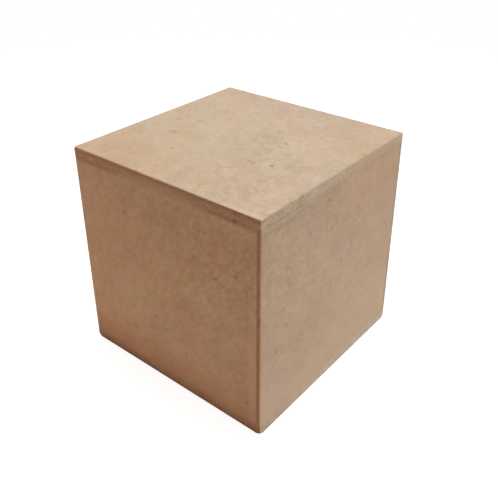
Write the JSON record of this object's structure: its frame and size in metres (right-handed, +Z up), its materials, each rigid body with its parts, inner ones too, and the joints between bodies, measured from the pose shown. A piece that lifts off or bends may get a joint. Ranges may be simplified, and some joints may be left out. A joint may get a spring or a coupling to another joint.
{
  "type": "wooden cube",
  "caption": "Closed hollow cube of raw fibreboard: full-size top and bottom boards on walls lapped at the corners by rebated joints.",
  "frame": {"origin": "centre of the underside, on the surface that the cube stands on", "axes": "+Z up through the middle of the top; -Y out of the front wall; +X out of the right wall"},
  "size_m": [0.12, 0.12, 0.12],
  "materials": {
    "top_board": "raw sanded fibreboard, matt",
    "bottom_board": "raw sanded fibreboard, matt",
    "front_board": "raw sanded fibreboard, matt",
    "right_board": "raw sanded fibreboard, matt",
    "back_board": "raw sanded fibreboard, matt",
    "left_board": "raw sanded fibreboard, matt"
  },
  "bodies": {
    "root": {"top_panel": "top_board", "bottom_panel": "bottom_board", "front_panel": "front_board", "right_panel": "right_board", "back_panel": "back_board", "left_panel": "left_board"}
  },
  "joints": []
}
